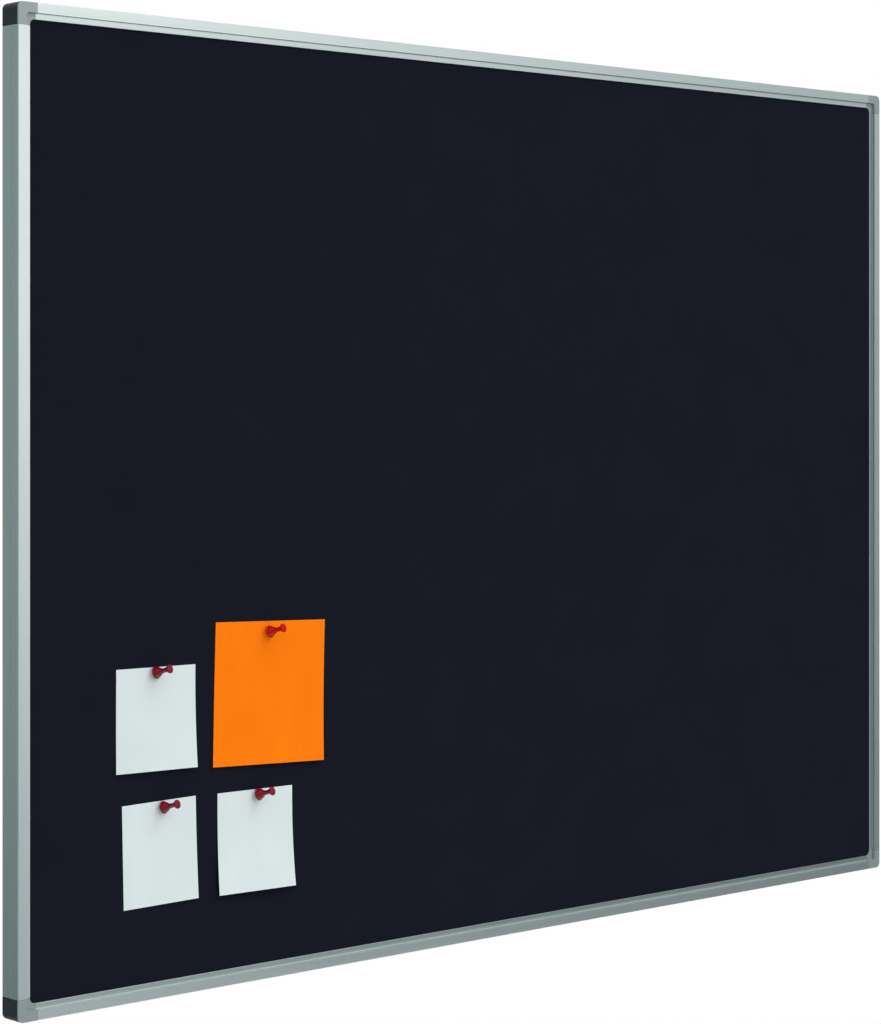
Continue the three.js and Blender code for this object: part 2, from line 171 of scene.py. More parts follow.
# Facets along the roundings, the fine fillets and chamfers, the corner turns and the round pieces
EDGE_SEGMENTS = 5
FILLET_SEGMENTS = 3
CHAMFER_SEGMENTS = 2
TURN_SEGMENTS = 12
ROUND_SIDES = 40
NEEDLE_SIDES = 16
# Faces that meet at less than these degrees are shaded as one
SMOOTH_ANGLE = 35
HEAD_SMOOTH_ANGLE = 60

# How near two places count as the same, and how much of a direction must lie along or may lie along
# an axis for it to count as parallel or square to it
TOLERANCE = 0.02 * MM
PARALLEL = 0.9
SQUARE = 0.1

# Stops that spread the middle of a noise, where most of it lies, over the whole range
SPREAD = ((0.3, 0), (0.7, 1))


# Modelling by hand


def select_only(*pieces):
    bpy.ops.object.select_all(action="DESELECT")
    for piece in pieces:
        piece.select_set(True)
    bpy.context.view_layer.objects.active = pieces[0]


@contextmanager
def editing(piece):
    select_only(piece)
    bpy.ops.object.mode_set(mode="EDIT")
    yield
    bpy.ops.object.mode_set(mode="OBJECT")


def settle(piece):
    """Puts the object's place, turn and scale into its mesh."""
    select_only(piece)
    bpy.ops.object.transform_apply(location=True, rotation=True, scale=True)


def added(operator, scale=(1, 1, 1), **settings):
    bpy.ops.object.select_all(action="DESELECT")
    operator(**settings)
    piece = bpy.context.object
    piece.scale = scale
    settle(piece)
    return piece


def block(low, high):
    centre = [(a + b) / 2 for a, b in zip(low, high)]
    spans = [b - a for a, b in zip(low, high)]
    return added(bpy.ops.mesh.primitive_cube_add, size=1, location=centre, scale=spans)


def sheet_facing_front(left, right, bottom, top, depth):
    """A flat square sheet at a depth behind the front plane, facing -Y."""
    return added(
        bpy.ops.mesh.primitive_plane_add,
        size=1,
        location=((left + right) / 2, depth - BOARD_DEPTH, (bottom + top) / 2),
        rotation=(math.radians(90), 0, 0),
        scale=(right - left, top - bottom, 1),
    )


def pick(kind, test):
    """In edit mode, selects the vertices, edges or faces whose middle and direction pass the test."""
    bpy.ops.mesh.select_mode(type=kind)
    bpy.ops.mesh.select_all(action="DESELECT")
    data = bpy.context.edit_object.data
    mesh = bmesh.from_edit_mesh(data)
    for element in {"VERT": mesh.verts, "EDGE": mesh.edges, "FACE": mesh.faces}[kind]:
        if kind == "FACE":
            chosen = test(element.calc_center_median(), element.normal)
        elif kind == "EDGE":
            a, b = (vertex.co for vertex in element.verts)
            chosen = test((a + b) / 2, (b - a).normalized())
        else:
            chosen = test(element.co, element.normal)
        element.select_set(chosen)
    bmesh.update_edit_mesh(data)


def near(a, b):
    return abs(a - b) < TOLERANCE


def pull(x=0, y=0, z=0):
    bpy.ops.mesh.extrude_region_move(TRANSFORM_OT_translate={"value": (x, y, z)})


def cut(place, normal):
    bpy.ops.mesh.select_all(action="SELECT")
    bpy.ops.mesh.bisect(plane_co=place, plane_no=normal)


def outwards():
    bpy.ops.mesh.select_all(action="SELECT")
    bpy.ops.mesh.normals_make_consistent(inside=False)


def modified(piece, kind, **settings):
    """Adds a modifier and applies it."""
    select_only(piece)
    modifier = piece.modifiers.new(kind.title(), kind)
    for key, value in settings.items():
        setattr(modifier, key, value)
    bpy.ops.object.modifier_apply(modifier=modifier.name)
    return piece


def combined(operation, piece, *others):
    """Adds other solids to a piece, or takes them away, and deletes them."""
    for other in others:
        modified(piece, "BOOLEAN", operation=operation, object=other, solver="EXACT")
        bpy.data.objects.remove(other, do_unlink=True)
    return piece


def smoothed(piece, degrees=SMOOTH_ANGLE):
    """Shades the rounded faces smooth and leaves the flat ones flat."""
    select_only(piece)
    bpy.ops.object.shade_smooth_by_angle(angle=math.radians(degrees))
    return modified(piece, "WEIGHTED_NORMAL", keep_sharp=True)


def copied(piece, place):
    """A copy with its own mesh, moved by a matrix."""
    copy = piece.copy()
    copy.data = piece.data.copy()
    copy.data.transform(place)
    bpy.context.collection.objects.link(copy)
    return copy


def dressed(piece, node, body, material):
    """Names a finished piece after the node that it stands for, and gives it its finish."""
    piece.name = piece.data.name = f"{node}_finish"
    piece.data.materials.clear()
    piece.data.materials.append(material)
    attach(piece, body)
    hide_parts(node)
    return piece


# Shader building


class Shade:
    """A shader value. Python's operators on it add the Math nodes that work the result out."""

    def __init__(self, finish, socket):
        self.finish = finish
        self.socket = socket

    def _maths(self, operation, first, second):
        return self.finish.node("ShaderNodeMath", {"operation": operation}, {0: first, 1: second})

    def __add__(self, other):
        return self._maths("ADD", self, other)

    __radd__ = __add__

    def __sub__(self, other):
        return self._maths("SUBTRACT", self, other)

    def __rsub__(self, other):
        return self._maths("SUBTRACT", other, self)

    def __mul__(self, other):
        return self._maths("MULTIPLY", self, other)

    __rmul__ = __mul__

    def __pow__(self, other):
        return self._maths("POWER", self, other)


class Finish:
    """A material, or the world, while its nodes are put together."""

    def __init__(self, owner):
        owner.use_nodes = True
        self.owner = owner
        self.tree = owner.node_tree
        self.tree.nodes.clear()

    def node(self, kind, settings=None, sockets=None, output=0):
        made = self.tree.nodes.new(kind)
        for key, value in (settings or {}).items():
            if key == "stops":
                self._set_stops(made.color_ramp, value)
            else:
                setattr(made, key, value)
        for key, value in (sockets or {}).items():
            if isinstance(value, Shade):
                self.tree.links.new(value.socket, made.inputs[key])
            else:
                made.inputs[key].default_value = value
        return Shade(self, made.outputs[output])

    @staticmethod
    def _set_stops(ramp, stops):
        while len(ramp.elements) < len(stops):
            ramp.elements.new(1)
        for element, (place, level) in zip(ramp.elements, stops):
            element.position = place
            element.color = (level, level, level, 1)

    def places(self, scale=(1, 1, 1), turn=(0, 0, 0)):
        """Object coordinates in metres, scaled so that a pattern can be stretched along the piece."""
        here = self.node("ShaderNodeTexCoord", output="Object")
        return self.node("ShaderNodeMapping", {}, {"Vector": here, "Scale": scale, "Rotation": turn})

    def noise(self, place, size, detail=2, roughness=0.5, distortion=0):
        """Cloudy noise from 0 to 1, whose largest features measure about the size given in metres."""
        return self.node("ShaderNodeTexNoise", {}, {
            "Vector": place, "Scale": 1 / size, "Detail": detail, "Roughness": roughness,
            "Distortion": distortion,
        })

    def ramp(self, value, *stops):
        return self.node("ShaderNodeValToRGB", {"stops": stops}, {"Fac": value})

    def colours(self, factor, first, second):
        """Goes from one colour to another, each three numbers or a shader value."""
        first, second = (
            colour if isinstance(colour, Shade) else (*colour, 1) for colour in (first, second)
        )
        return self.node(
            "ShaderNodeMix", {"data_type": "RGBA"}, {0: factor, 6: first, 7: second}, output=2,
        )

    def bump(self, height, depth, strength=1):
        return self.node("ShaderNodeBump", {}, {
            "Height": height, "Distance": depth, "Strength": strength,
        })

    def between(self, value, low, high):
        """Goes smoothly from 0 at the low value to 1 at the high one."""
        return self.node("ShaderNodeMapRange", {"interpolation_type": "SMOOTHSTEP"}, {
            "Value": value, "From Min": low, "From Max": high,
        })

    def path(self, kind):
        """1 for light rays of a kind, such as those that start at the camera."""
        return self.node("ShaderNodeLightPath", output=kind)

    def principled(self, **sockets):
        return self.node("ShaderNodeBsdfPrincipled", {}, {
            key.replace("_", " ").replace("Ior", "IOR"): value for key, value in sockets.items()
        })

    def surface(self, shader):
        """Joins a shader to the output, and gives back the material or world."""
        is_world = isinstance(self.owner, bpy.types.World)
        end = self.tree.nodes.new("ShaderNodeOutputWorld" if is_world else "ShaderNodeOutputMaterial")
        self.tree.links.new(shader.socket, end.inputs["Surface"])
        return self.owner


def new_finish(name):
    return Finish(bpy.data.materials.new(name))


# Materials, with colours as linear shares of red, green and blue


def anodised_aluminium(name, along):
    """Satin silver, with fine lines drawn along the rail, and painted shade down the wall of the step.
    """
    finish = new_finish(name)
    stretched = (0.004, 1, 1) if along == "X" else (1, 1, 0.004)
    lines = finish.noise(finish.places(stretched), 0.35 * MM, detail=3, roughness=0.6)
    bands = finish.noise(finish.places(stretched), 2.6 * MM, detail=2)
    clouds = finish.noise(finish.places(), 90 * MM, detail=3)
    tone = finish.ramp(lines * 0.6 + bands * 0.4, *SPREAD)
    silver = finish.colours(tone, (0.68, 0.79, 0.785), (0.77, 0.88, 0.875))
    here = finish.node("ShaderNodeTexCoord", output="Object")
    across, half = ("Z", BOARD_HEIGHT / 2) if along == "X" else ("X", BOARD_WIDTH / 2)
    side = finish.node("ShaderNodeSeparateXYZ", {}, {0: here}, output=across)
    depth = finish.node("ShaderNodeSeparateXYZ", {}, {0: here}, output="Y") + BOARD_DEPTH
    outer_share, inner_share = STEP_SHADE_SHARES
    outer = finish.between(
        finish.node("ShaderNodeMath", {"operation": "ABSOLUTE"}, {0: side}),
        half - inner_share * BAND_WIDTH, half - outer_share * BAND_WIDTH,
    )
    lip_front = STEP_DEPTH - LIP_RISE
    below = finish.between(depth, STEP_SHADE_START, STEP_SHADE_START + STEP_SHADE_BLEND)
    behind = finish.between(depth, lip_front - STEP_SHADE_BLEND, lip_front)
    # Painted shade: the step's wall gets a darker colour in place of the shade that falls down in the
    # step
    step_shade = (1 - outer) * below * (1 - behind)
    return finish.surface(finish.principled(
        Base_Color=finish.colours(step_shade, silver, STEP_WALL_PAINTED_SHADE),
        Metallic=1.0,
        Roughness=0.27 + 0.08 * lines + 0.05 * clouds,
        Normal=finish.bump(lines, 0.02 * MM, 0.35),
    ))


def light_grey_plastic():
    """Cool light grey, satin, with the fine grain of the mould."""
    finish = new_finish("light_grey_plastic")
    grain = finish.noise(finish.places(), 0.5 * MM, detail=3)
    clouds = finish.noise(finish.places(), 6 * MM, detail=2)
    return finish.surface(finish.principled(
        Base_Color=finish.colours(clouds, (0.185, 0.24, 0.25), (0.225, 0.28, 0.29)),
        Roughness=0.3 + 0.12 * grain,
        Ior=1.75,
        Specular_IOR_Level=1.0,
        Coat_Weight=0.6,
        Coat_Roughness=0.3,
        Normal=finish.bump(grain, 0.03 * MM, 0.5),
    ))


def charcoal_plastic():
    """Nearly black, with a coarse spark-eroded grain."""
    finish = new_finish("charcoal_plastic")
    grain = finish.noise(finish.places(), 0.7 * MM, detail=4)
    clouds = finish.noise(finish.places(), 8 * MM, detail=2)
    return finish.surface(finish.principled(
        Base_Color=finish.colours(clouds, (0.0105, 0.0205, 0.0255), (0.016, 0.0295, 0.0355)),
        Roughness=0.5 + 0.15 * grain,
        Normal=finish.bump(grain, 0.06 * MM, 0.6),
    ))


def navy_felt():
    """Very dark blue pressed felt: tangled fibres, flecks of lighter fluff and faint broad clouds."""
    finish = new_finish("navy_felt")
    tangle = finish.noise(finish.places(), 2.4 * MM, detail=5, roughness=0.7, distortion=2.2)
    strands = finish.noise(finish.places((1, 1, 0.35), (0, 0.6, 0)), 1.1 * MM, detail=3, distortion=1.5)
    clouds = finish.noise(finish.places(), 60 * MM, detail=3)
    fluff = finish.ramp(strands, (0.62, 0), (0.8, 1))
    tone = finish.ramp(tangle * 0.75 + clouds * 0.25, *SPREAD)
    weave = finish.colours(tone, (0.0066, 0.0078, 0.0143), (0.0094, 0.0110, 0.0186))
    return finish.surface(finish.principled(
        Base_Color=finish.colours(fluff * 0.5, weave, (0.018, 0.021, 0.033)),
        Roughness=1.0,
        Specular_IOR_Level=0.04,
        Sheen_Weight=0.01,
        Normal=finish.bump(tangle + strands * 0.6, 0.35 * MM, 0.8),
    ))


def fibre_core():
    """Soft fibre board: short brown fibres lying flat."""
    finish = new_finish("fibre_core")
    fibres = finish.noise(finish.places((0.3, 1, 1)), 1.5 * MM, detail=4, distortion=1)
    return finish.surface(finish.principled(
        Base_Color=finish.colours(fibres, (0.24, 0.155, 0.08), (0.5, 0.36, 0.21)),
        Roughness=0.95,
        Normal=finish.bump(fibres, 0.2 * MM, 0.7),
    ))


def galvanised_steel():
    """Thin galvanised sheet, with the flat crystals of its zinc."""
    finish = new_finish("galvanised_steel")
    warp = finish.noise(finish.places(), 14 * MM, detail=2)
    crystals = finish.node(
        "ShaderNodeTexVoronoi", {"feature": "F1"},
        {"Vector": finish.places(), "Scale": 1 / (13 * MM)}, output="Color",
    )
    facet = finish.node("ShaderNodeSeparateColor", {}, {"Color": crystals})
    tone = facet * 0.7 + warp * 0.3
    return finish.surface(finish.principled(
        Base_Color=finish.colours(tone, (0.42, 0.44, 0.45), (0.60, 0.62, 0.63)),
        Metallic=1.0,
        Roughness=0.3 + 0.22 * facet,
        Normal=finish.bump(warp, 0.15 * MM, 0.2),
    ))


def zinc_screw():
    """Bright zinc, with a faint fine grain."""
    finish = new_finish("zinc_screw")
    grain = finish.noise(finish.places(), 0.4 * MM, detail=3)
    return finish.surface(finish.principled(
        Base_Color=finish.colours(grain, (0.50, 0.51, 0.50), (0.66, 0.67, 0.66)),
        Metallic=1.0,
        Roughness=0.22 + 0.16 * grain,
        Normal=finish.bump(grain, 0.02 * MM, 0.3),
    ))


def paper(name, shade, light):
    """Uncoated paper: fine fibres, and a faint unevenness where it cockled."""
    finish = new_finish(name)
    fibres = finish.noise(finish.places(), 0.8 * MM, detail=4, roughness=0.65, distortion=0.8)
    cockle = finish.noise(finish.places((1, 1, 0.6)), 28 * MM, detail=3)
    tone = finish.ramp(fibres * 0.35 + cockle * 0.65, *SPREAD)
    return finish.surface(finish.principled(
        Base_Color=finish.colours(tone, shade, light),
        Roughness=0.9,
        Specular_IOR_Level=0.1,
        Normal=finish.bump(fibres * 0.25 + cockle, 0.3 * MM, 0.35),
    ))


def red_plastic(name, shade, light, gloss):
    """Glossy red moulded plastic, with slight flow marks. The gloss is 0.5 for common plastics."""
    finish = new_finish(name)
    flow = finish.noise(finish.places(), 3 * MM, detail=2, distortion=0.6)
    scuffs = finish.noise(finish.places(), 0.6 * MM, detail=3)
    return finish.surface(finish.principled(
        Base_Color=finish.colours(flow, shade, light),
        Roughness=0.08 + 0.08 * scuffs,
        Specular_IOR_Level=gloss,
        Normal=finish.bump(flow, 0.05 * MM, 0.15),
    ))


def needle_steel():
    """Polished steel wire, with a faint fine grain."""
    finish = new_finish("needle_steel")
    marks = finish.noise(finish.places(), 0.25 * MM, detail=2)
    return finish.surface(finish.principled(
        Base_Color=finish.colours(marks, (0.55, 0.56, 0.57), (0.68, 0.69, 0.7)),
        Metallic=1.0,
        Roughness=0.14 + 0.12 * marks,
    ))


# Frame rails. One lies along X with its outer edge on Z = 0 and its opening towards +Z


def pick_strip(facing, depth, inwards):
    """Selects the long faces whose middle lies at a depth and a distance inwards."""
    pick("FACE", lambda centre, normal: (
        near(centre.y, depth - BOARD_DEPTH) and near(centre.z, inwards)
        and normal.dot(facing) > PARALLEL
    ))


def pick_long_edges(*spots):
    pick("EDGE", lambda middle, direction: abs(direction.x) > PARALLEL and any(
        near(middle.y, depth - BOARD_DEPTH) and near(middle.z, inwards) for depth, inwards in spots
    ))


def screw_way():
    """The countersunk hole in a rail's rear flange, at the origin, opening towards +Y."""
    bore = SCREW_SHANK + SCREW_ROOM
    mouth = SCREW_HEAD_RADIUS + SCREW_ROOM
    way = added(
        bpy.ops.mesh.primitive_circle_add, vertices=ROUND_SIDES, radius=bore, fill_type="NGON",
        location=(0, 0, -2 * FLANGE_WALL),
    )
    with editing(way):
        bpy.ops.mesh.select_all(action="SELECT")
        pull(z=2 * FLANGE_WALL - SCREW_HEAD_HEIGHT)
        pull(z=SCREW_HEAD_HEIGHT)
        bpy.ops.transform.resize(value=(mouth / bore, mouth / bore, 1), center_override=(0, 0, 0))
        pull(z=SCREW_HEAD_HEIGHT)
        outwards()
    way.data.transform(Matrix.Rotation(math.radians(-90), 4, "X"))
    return way


def rail_blank(length, screw_places):
    inwards = Vector((0, 0, 1))
    outer = -inwards
    backwards = Vector((0, 1, 0))
    forwards = -backwards
    rail = block((-length / 2, -BOARD_DEPTH, 0), (length / 2, 0, RAIL_WALL))
    groove_back = GROOVE_PLACE + GROOVE_WIDTH
    with editing(rail):
        for depth in (RAIL_WALL, GROOVE_PLACE, groove_back, WEB_FRONT, CHAMBER_FRONT, CHAMBER_BACK):
            cut((0, depth - BOARD_DEPTH, 0), backwards)
        # Shallow groove along the outer side
        pick_strip(outer, GROOVE_PLACE + GROOVE_WIDTH / 2, 0)
        pull(z=GROOVE_DEPTH)
        # Raised band, step and lip
        pick_strip(inwards, RAIL_WALL / 2, RAIL_WALL)
        pull(z=BAND_WIDTH - 2 * RAIL_WALL)
        pull(z=RAIL_WALL)
        pick_strip(backwards, RAIL_WALL, BAND_WIDTH - RAIL_WALL / 2)
        pull(y=STEP_DEPTH - RAIL_WALL)
        pull(y=RAIL_WALL)
        pick_strip(inwards, STEP_DEPTH + RAIL_WALL / 2, BAND_WIDTH)
        for _ in range(LIP_CUTS):
            pull(z=LIP_WIDTH / LIP_CUTS)
        for number in range(1, LIP_CUTS + 1):
            share = number / LIP_CUTS
            pick_long_edges((STEP_DEPTH, BAND_WIDTH + share * LIP_WIDTH))
            bpy.ops.transform.translate(value=(0, LIP_HOLLOW * share * (LIP_DIP_SHARE - share), 0))
        # Web, rear flange and the chamber's inner wall
        pick_strip(inwards, WEB_FRONT + RAIL_WALL / 2, RAIL_WALL)
        pull(z=CHAMBER_REACH - 2 * RAIL_WALL)
        pull(z=RAIL_WALL)
        pull(z=WEB_REACH - CHAMBER_REACH)
        pick_strip(inwards, BOARD_DEPTH - FLANGE_WALL / 2, RAIL_WALL)
        pull(z=CHAMBER_REACH - 2 * RAIL_WALL)
        pull(z=RAIL_WALL)
        wall_middle = CHAMBER_REACH - RAIL_WALL / 2
        ends = ((CHAMBER_FRONT, backwards), (CHAMBER_BACK, forwards))
        pick("FACE", lambda centre, normal: near(centre.z, wall_middle) and any(
            near(centre.y, depth - BOARD_DEPTH) and normal.dot(facing) > PARALLEL
            for depth, facing in ends
        ))
        bpy.ops.mesh.bridge_edge_loops()
        # Rounded and broken edges
        pick_long_edges((0, 0))
        bpy.ops.mesh.bevel(offset=EDGE_RADIUS, segments=EDGE_SEGMENTS)
        pick_long_edges((0, BAND_WIDTH))
        bpy.ops.mesh.bevel(offset=INNER_EDGE_RADIUS, segments=EDGE_SEGMENTS)
        pick_long_edges((STEP_DEPTH - LIP_RISE, RAIL_FACE))
        bpy.ops.mesh.bevel(offset=LIP_RADIUS, segments=EDGE_SEGMENTS)
        pick_long_edges((STEP_DEPTH, BAND_WIDTH))
        bpy.ops.mesh.bevel(offset=FOOT_FILLET, segments=FILLET_SEGMENTS)
        pick_long_edges(
            (BOARD_DEPTH, 0), (BOARD_DEPTH, CHAMBER_REACH), (GROOVE_PLACE, 0), (groove_back, 0),
        )
        bpy.ops.mesh.bevel(offset=REAR_CHAMFER, segments=CHAMFER_SEGMENTS)
        outwards()
    ways = [copied(way, Matrix.Translation((x, y, z))) for way, (x, y, z) in screw_places]
    return smoothed(combined("DIFFERENCE", rail, *ways))


def node_places(nodes):
    """Where the middle of each node's back lies."""
    places = []
    for node in nodes:
        low, high = (Vector(corner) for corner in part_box(node))
        places.append(Vector(((low.x + high.x) / 2, high.y, (low.z + high.z) / 2)))
    return places


def make_rails():
    level = anodised_aluminium("anodised_aluminium_level", "X")
    upright = anodised_aluminium("anodised_aluminium_upright", "Z")
    way = screw_way()
    half_width = BOARD_WIDTH / 2
    half_height = BOARD_HEIGHT / 2
    pairs = [
        (("bottom", 0, (0, 0, -half_height)), ("top", 180, (0, 0, half_height)), level),
        (("left", 90, (-half_width, 0, 0)), ("right", -90, (half_width, 0, 0)), upright),
    ]
    for first, second, material in pairs:
        place, degrees, spot = first
        to_board = Matrix.Translation(spot) @ Matrix.Rotation(math.radians(degrees), 4, "Y")
        low, high = (Vector(corner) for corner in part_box(f"rail_{place}"))
        length = max(high.x - low.x, high.z - low.z)
        spots = node_places([f"screw_{place}_a", f"screw_{place}_b"])
        screws = [to_board.inverted() @ screw for screw in spots]
        blank = rail_blank(length, [(way, screw) for screw in screws])
        for side, turn, centre in (first, second):
            matrix = Matrix.Translation(centre) @ Matrix.Rotation(math.radians(turn), 4, "Y")
            dressed(copied(blank, matrix), f"rail_{side}", "board", material)
        bpy.data.objects.remove(blank, do_unlink=True)
    bpy.data.objects.remove(way, do_unlink=True)


# Corner pieces, made for a corner at the origin whose sides run along +X and +Z


def corner_strip(inner, inner_turn, outer, outer_turn, front, back, leg=CORNER_LEG):
    """An L-shaped plate along both outer sides, rounded at its outer and its inner turn."""
    strip = sheet_facing_front(inner, leg, inner, leg, front)
    with editing(strip):
        cut((outer, 0, 0), (1, 0, 0))
        cut((0, 0, outer), (0, 0, 1))
        pick("FACE", lambda centre, normal: centre.x > outer and centre.z > outer)
        bpy.ops.mesh.delete(type="FACE")
        pick("FACE", lambda centre, normal: True)
        bpy.ops.mesh.dissolve_limited(angle_limit=math.radians(1))
        for spot, radius in ((inner, inner_turn), (outer, outer_turn)):
            pick("VERT", lambda place, normal: near(place.x, spot) and near(place.z, spot))
            bpy.ops.mesh.bevel(offset=radius, segments=TURN_SEGMENTS, affect="VERTICES")
        pick("FACE", lambda centre, normal: True)
        pull(y=back - front)
        outwards()
    return strip


def round_rim(piece, depth, radius, nearest, farthest):
    """Rounds the edges at one depth and range inwards, but not those at the rails' ends."""
    with editing(piece):
        pick("EDGE", lambda middle, direction: (
            near(middle.y, depth - BOARD_DEPTH) and abs(direction.y) < SQUARE
            and max(middle.x, middle.z) < CORNER_LEG - TOLERANCE
            and nearest - TOLERANCE < min(middle.x, middle.z) < farthest
        ))
        bpy.ops.mesh.bevel(offset=radius, segments=EDGE_SEGMENTS)


def corner_cover():
    step_near = BAND_WIDTH - RAIL_WALL
    step_turn = GROOVE_TURN + RAIL_WALL
    band = corner_strip(0, CORNER_RADIUS, BAND_WIDTH, GROOVE_TURN, 0, RAIL_WALL)
    lip = corner_strip(step_near, step_turn, RAIL_FACE, OPENING_RADIUS, STEP_DEPTH, LIP_BACK)
    step = corner_strip(step_near, step_turn, BAND_WIDTH, GROOVE_TURN, RAIL_WALL / 2, LIP_BACK)
    skirt = corner_strip(
        COVER_SKIRT_NEAR, CORNER_RADIUS - COVER_SKIRT_NEAR,
        COVER_SKIRT_FAR, CORNER_RADIUS - COVER_SKIRT_FAR,
        RAIL_WALL / 2, COVER_SKIRT_DEPTH, COVER_SKIRT_LEG,
    )
    round_rim(band, 0, EDGE_RADIUS, 0, step_near)
    round_rim(band, 0, INNER_EDGE_RADIUS, step_near, CORNER_LEG)
    round_rim(lip, STEP_DEPTH, LIP_RADIUS, BAND_WIDTH, CORNER_LEG)
    return smoothed(combined("UNION", band, lip, step, skirt))


def rounded_floor():
    floor = sheet_facing_front(0, CORNER_LEG, 0, CORNER_LEG, BOARD_DEPTH - BASE_FLOOR)
    with editing(floor):
        pick("VERT", lambda place, normal: near(place.x, 0) and near(place.z, 0))
        bpy.ops.mesh.bevel(offset=CORNER_RADIUS, segments=TURN_SEGMENTS, affect="VERTICES")
        pick("FACE", lambda centre, normal: True)
        pull(y=BASE_FLOOR)
        outwards()
    return floor


def rail_leg(along_x):
    """The leg that slides into a rail's chamber, with a tapered tip."""
    front = CHAMBER_FRONT + LEG_ROOM - BOARD_DEPTH
    back = CHAMBER_BACK - LEG_ROOM - BOARD_DEPTH
    leg = block((LEG_START, front, LEG_NEAR), (LEG_LENGTH, back, LEG_FAR))
    with editing(leg):
        pick("EDGE", lambda middle, direction: (
            near(middle.x, LEG_LENGTH) and abs(direction.y) > PARALLEL
        ))
        bpy.ops.mesh.bevel(offset=LEG_CHAMFER, segments=FILLET_SEGMENTS)
    if not along_x:
        swap = Matrix(((0, 0, 1, 0), (0, 1, 0, 0), (1, 0, 0, 0), (0, 0, 0, 1)))
        leg.data.transform(swap)
        leg.data.flip_normals()
    return leg


def round_post(radius, front, back):
    """A post along Y at the wall screw's place."""
    return added(
        bpy.ops.mesh.primitive_cylinder_add, vertices=ROUND_SIDES, radius=radius, depth=back - front,
        location=(BOSS_PLACE, (front + back) / 2 - BOARD_DEPTH, BOSS_PLACE),
        rotation=(math.radians(90), 0, 0),
    )


def wall_screw_boss():
    """The boss round the wall screw's hole, with a sunk seat for the screw's head."""
    boss = round_post(BOSS_RADIUS, BOSS_FRONT, BOARD_DEPTH)
    with editing(boss):
        pick("FACE", lambda centre, normal: normal.y < -PARALLEL)
        bpy.ops.mesh.inset(thickness=BOSS_RADIUS - WALL_SCREW_SEAT)
        pull(y=BASE_FLOOR)
        bpy.ops.transform.resize(
            value=(WALL_SCREW_RADIUS / WALL_SCREW_SEAT, 1, WALL_SCREW_RADIUS / WALL_SCREW_SEAT),
            center_override=(BOSS_PLACE, 0, BOSS_PLACE),
        )
    return boss


def corner_base():
    inner_turn = CORNER_RADIUS - BASE_WALL
    base = corner_strip(0, CORNER_RADIUS, BASE_WALL, inner_turn, BASE_FRONT, BOARD_DEPTH)
    round_rim(base, BASE_FRONT, BASE_EDGE, 0, CORNER_LEG)
    # The roots that join the legs to the floor, a little narrower than the legs
    start, end = LEG_START + LEG_ROOM, CORNER_LEG - LEG_ROOM
    low, high = LEG_NEAR + LEG_ROOM, LEG_FAR - LEG_ROOM
    front, back = (CHAMBER_FRONT + CHAMBER_BACK) / 2 - BOARD_DEPTH, -BASE_FLOOR / 2
    roots = [
        block((start, front, low), (end, back, high)),
        block((low, front, start), (high, back, end)),
    ]
    legs = [rail_leg(True), rail_leg(False)]
    combined("UNION", base, rounded_floor(), *legs, *roots, wall_screw_boss())
    hole = round_post(WALL_SCREW_RADIUS, BOSS_FRONT - BASE_FLOOR, 2 * BOARD_DEPTH)
    combined("DIFFERENCE", base, hole)
    return smoothed(base)


def make_corners():
    light_grey = light_grey_plastic()
    charcoal = charcoal_plastic()
    cover = corner_cover()
    base = corner_base()
    corners = {
        "bottom_left": (-1, -1, 0),
        "top_left": (-1, 1, 90),
        "top_right": (1, 1, 180),
        "bottom_right": (1, -1, 270),
    }
    for place, (x, z, degrees) in corners.items():
        spot = (x * BOARD_WIDTH / 2, 0, z * BOARD_HEIGHT / 2)
        matrix = Matrix.Translation(spot) @ Matrix.Rotation(math.radians(degrees), 4, "Y")
        dressed(
            copied(cover, matrix), f"corner_cover_{place}", f"cover_{place}",
            light_grey,
        )
        dressed(copied(base, matrix), f"corner_base_{place}", "board", charcoal)
    bpy.data.objects.remove(cover, do_unlink=True)
    bpy.data.objects.remove(base, do_unlink=True)


# Felt, core and back


def make_felt():
    """One sheet of felt stretched over the core, notched for the corner pieces."""
    low, high = (Vector(corner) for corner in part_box("felt_surface"))
    notch = BOSS_PLACE + BOSS_RADIUS + FELT_EDGE
    felt = sheet_facing_front(low.x, high.x, low.z, high.z, low.y + BOARD_DEPTH)
    sides = (low.x + notch, high.x - notch)
    ends = (low.z + notch, high.z - notch)
    with editing(felt):
        for x in sides:
            cut((x, 0, 0), (1, 0, 0))
        for z in ends:
            cut((0, 0, z), (0, 0, 1))
        pick("FACE", lambda centre, normal: (
            not sides[0] < centre.x < sides[1] and not ends[0] < centre.z < ends[1]
        ))
        bpy.ops.mesh.delete(type="FACE")
        pick("FACE", lambda centre, normal: True)
        pull(y=high.y - low.y)
        outwards()
        pick("EDGE", lambda middle, direction: (
            near(middle.y, low.y) and (
                near(middle.x, low.x) or near(middle.x, high.x)
                or near(middle.z, low.z) or near(middle.z, high.z)
            )
        ))
        bpy.ops.mesh.bevel(offset=FELT_EDGE, segments=FILLET_SEGMENTS)
    smoothed(felt)
    dressed(felt, "felt_surface", "board", navy_felt())


def refinish(node, material):
    """Gives a frame part that keeps its shape its finish."""
    part = frame["nodes"][node]
    part.data.materials.clear()
    part.data.materials.append(material)


# Notes and push pins


